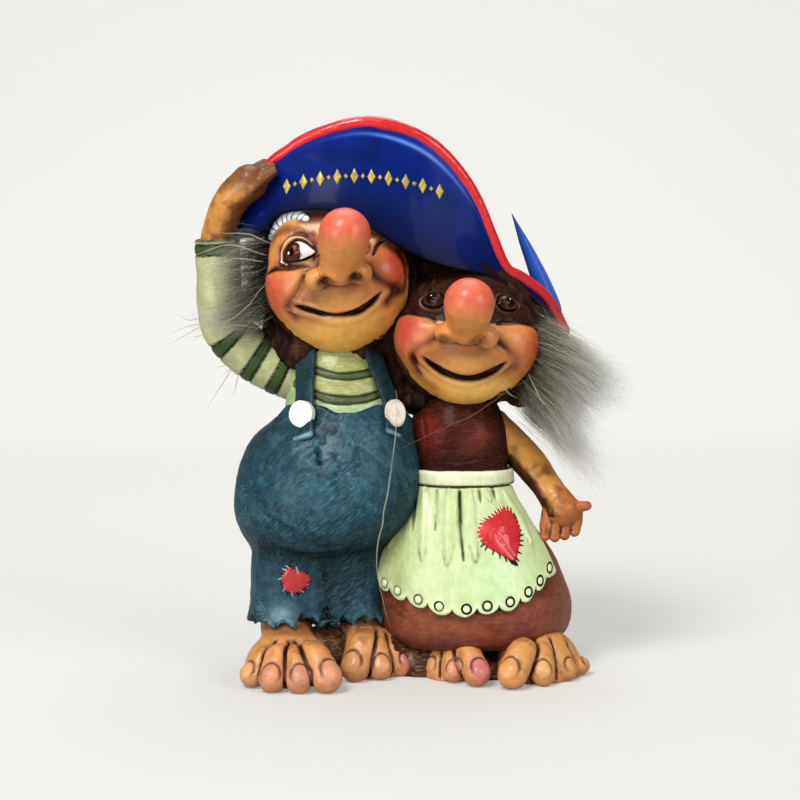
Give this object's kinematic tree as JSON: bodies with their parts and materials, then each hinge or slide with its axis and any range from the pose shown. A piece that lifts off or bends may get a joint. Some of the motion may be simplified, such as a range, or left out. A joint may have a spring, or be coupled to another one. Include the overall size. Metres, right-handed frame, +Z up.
{
  "type": "troll figurine",
  "caption": "Glossy painted resin figurine of two embracing trolls who share one upturned blue hat, with fur hair at the sides, standing on bare feet on a low ground slab.",
  "frame": {"origin": "on the flat underside of the ground slab, below the middle of the two trolls", "axes": "+Z up, the trolls face -Y, +X to the viewer's right as they are seen from the front"},
  "size_m": [0.1225, 0.0595, 0.15],
  "materials": {
    "troll_skin": "glossy lacquer over ochre paint",
    "denim_paint": "satin lacquer over dry-brushed blue paint",
    "shirt_paint": "satin lacquer over green stripes",
    "pale_paint": "glossy off-white paint",
    "red_paint": "glossy red paint",
    "dress_paint": "satin lacquer over brown paint",
    "apron_paint": "satin lacquer over pale green paint",
    "hair_paint": "dark brown textured paint",
    "eye_paint": "very glossy dark paint",
    "hat_blue": "glossy blue paint",
    "ground_paint": "glossy brown paint",
    "fur": "long synthetic fur"
  },
  "bodies": {
    "root": {"tall_nose": "troll_skin", "tall_right_hand": "troll_skin", "tall_left_hand": "troll_skin", "tall_head": "troll_skin", "tall_right_foot": "troll_skin", "tall_left_foot": "troll_skin", "short_nose": "troll_skin", "short_left_arm": "troll_skin", "short_right_arm": "troll_skin", "short_head": "troll_skin", "short_right_foot": "troll_skin", "short_left_foot": "troll_skin", "tall_dungarees": "denim_paint", "tall_right_strap": "denim_paint", "tall_left_strap": "denim_paint", "tall_shirt": "shirt_paint", "tall_right_sleeve": "shirt_paint", "tall_left_sleeve": "shirt_paint", "tall_right_eyebrow": "pale_paint", "tall_right_button": "pale_paint", "tall_left_button": "pale_paint", "hat_binding": "red_paint", "short_heart_patch": "red_paint", "tall_knee_patch": "red_paint", "short_bodice": "dress_paint", "short_skirt": "dress_paint", "short_apron": "apron_paint", "short_apron_band": "apron_paint", "tall_hair_cap": "hair_paint", "short_hair_cap": "hair_paint", "tall_right_eye": "eye_paint", "tall_left_eye": "eye_paint", "short_right_eye": "eye_paint", "short_left_eye": "eye_paint", "hat_front_brim": "hat_blue", "hat_back_brim": "hat_blue", "hat_crown": "hat_blue", "base": "ground_paint", "tall_hair_tuft": "fur", "short_hair_tuft": "fur"}
  },
  "joints": []
}
